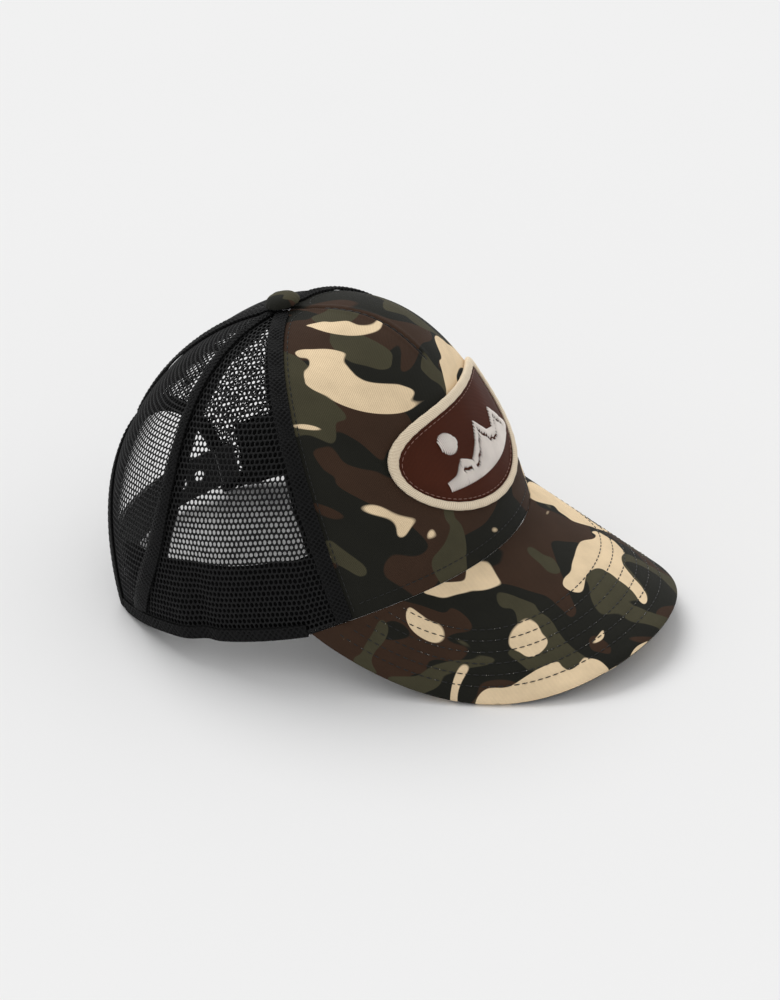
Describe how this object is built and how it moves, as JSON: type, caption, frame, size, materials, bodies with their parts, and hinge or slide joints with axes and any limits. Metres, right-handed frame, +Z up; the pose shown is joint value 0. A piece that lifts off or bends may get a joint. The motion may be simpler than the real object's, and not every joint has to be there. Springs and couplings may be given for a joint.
{
  "type": "trucker mesh cap",
  "caption": "Curved-visor trucker cap with a camouflage twill front, oval patch, open mesh sides and back, covered button and a snap strap under a half-moon opening.",
  "frame": {"origin": "middle of the footprint, on the surface that the cap rests on", "axes": "+Z up, -Y towards the visor's front, +Y towards the strap, -X towards the wearer's right. The cap is at rest on its visor sides and back corners, so its crown is tipped nose up by 12.9 degrees"},
  "size_m": [0.1742, 0.254, 0.1378],
  "materials": {
    "camo_twill": "printed cotton twill in near-black green, dark brown, olive and cream",
    "black_mesh": "open knitted polyester mesh",
    "black_tape": "black woven tape and folded mesh",
    "sweatband": "black brushed twill",
    "padding": "thin foam",
    "lining": "black stiffened buckram",
    "patch_satin": "dark brown satin twill",
    "cream_thread": "merrowed cream embroidery thread",
    "white_thread": "off-white satin stitch",
    "board_plastic": "polyethylene board",
    "strap_plastic": "black moulded polyethylene, fine grain",
    "rivet_metal": "plain aluminium",
    "label_cloth": "blank white satin label"
  },
  "bodies": {
    "crown": {"front_panel": "camo_twill", "front_lining": "lining", "mesh_side_right": "black_mesh", "mesh_side_left": "black_mesh", "mesh_back_right": "black_mesh", "mesh_back_left": "black_mesh", "front_seam_band_right": "black_tape", "front_seam_band_left": "black_tape", "side_seam_band_right": "black_tape", "side_seam_band_left": "black_tape", "back_seam_band": "black_tape", "hem_band_right": "black_tape", "hem_band_left": "black_tape", "arch_binding": "black_tape", "front_tape_right": "black_tape", "front_tape_left": "black_tape", "side_tape_right": "black_tape", "side_tape_left": "black_tape", "back_tape": "black_tape", "dart_tape": "black_tape", "top_button": "camo_twill", "button_rivet": "rivet_metal", "visor_board": "board_plastic", "visor_top_cover": "camo_twill", "visor_under_cover": "camo_twill", "sweatband_cloth": "sweatband", "sweatband_foam": "padding", "sweatband_backing": "lining", "patch_field": "patch_satin", "patch_border": "cream_thread", "patch_emblem": "white_thread", "strap_tab_right": "strap_plastic", "strap_tab_left": "strap_plastic", "care_label": "label_cloth"},
    "strap_with_holes": {"strap_holes": "strap_plastic"},
    "strap_with_studs": {"strap_studs": "strap_plastic"}
  },
  "joints": [
    {"name": "holes_half_swing", "type": "hinge", "parent": "crown", "child": "strap_with_holes", "pos_m": [0.04781, 0.10771, 0.01437], "axis": [0, -0.2235, -0.9747], "range_deg": [0, 45], "stiffness_Nm_per_rad": 0.02},
    {"name": "studs_half_swing", "type": "hinge", "parent": "crown", "child": "strap_with_studs", "pos_m": [-0.04692, 0.10666, 0.01461], "axis": [0, -0.2235, -0.9747], "range_deg": [0, 40], "stiffness_Nm_per_rad": 0.02}
  ]
}
